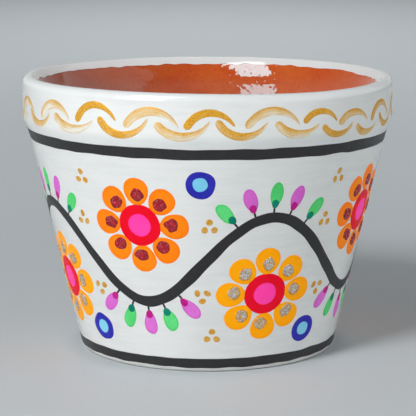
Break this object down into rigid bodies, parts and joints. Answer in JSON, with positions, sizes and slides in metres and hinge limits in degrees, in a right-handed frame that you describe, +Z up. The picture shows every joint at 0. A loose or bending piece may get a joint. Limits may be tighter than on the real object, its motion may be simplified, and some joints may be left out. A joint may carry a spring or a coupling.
{
  "type": "flower pot",
  "caption": "Small tapered clay flower pot with a swollen collar, white outside and glazed inside, painted with a gold rim border and a frieze of vine and flowers.",
  "frame": {"origin": "centre of the foot, on the table", "axes": "+Z up along the pot's axis, -Y towards the front of the painted frieze"},
  "size_m": [0.1404, 0.1404, 0.104],
  "materials": {
    "fired_red_clay": "unglazed, matt",
    "white_ground": "gloss",
    "clear_glaze_on_clay": "gloss",
    "black_paint": "gloss",
    "gold_paint": "gloss, brush marks",
    "pink_paint": "gloss",
    "magenta_paint": "gloss",
    "green_paint": "gloss",
    "dark_green_paint": "gloss",
    "orange_paint": "gloss",
    "yellow_paint": "gloss",
    "red_paint": "gloss",
    "bright_pink_paint": "gloss",
    "red_glitter_paint": "glitter",
    "silver_glitter_paint": "glitter",
    "blue_paint": "gloss",
    "sky_blue_paint": "gloss"
  },
  "bodies": {
    "root": {"clay_pot": "fired_red_clay", "white_ground_coat": "white_ground", "inner_glaze": "clear_glaze_on_clay", "upper_black_band": "black_paint", "lower_black_band": "black_paint", "gold_rim_border": "gold_paint", "black_vine": "black_paint", "leaf_stalks": "black_paint", "pink_leaves": "pink_paint", "magenta_leaf_roots": "magenta_paint", "green_leaves": "green_paint", "dark_green_leaf_roots": "dark_green_paint", "orange_petals": "orange_paint", "yellow_petals": "yellow_paint", "red_flower_centres": "red_paint", "pink_flower_hearts": "bright_pink_paint", "red_glitter_dabs": "red_glitter_paint", "silver_glitter_dabs": "silver_glitter_paint", "blue_rings": "blue_paint", "sky_blue_dots": "sky_blue_paint", "gold_dots": "gold_paint"}
  },
  "joints": []
}
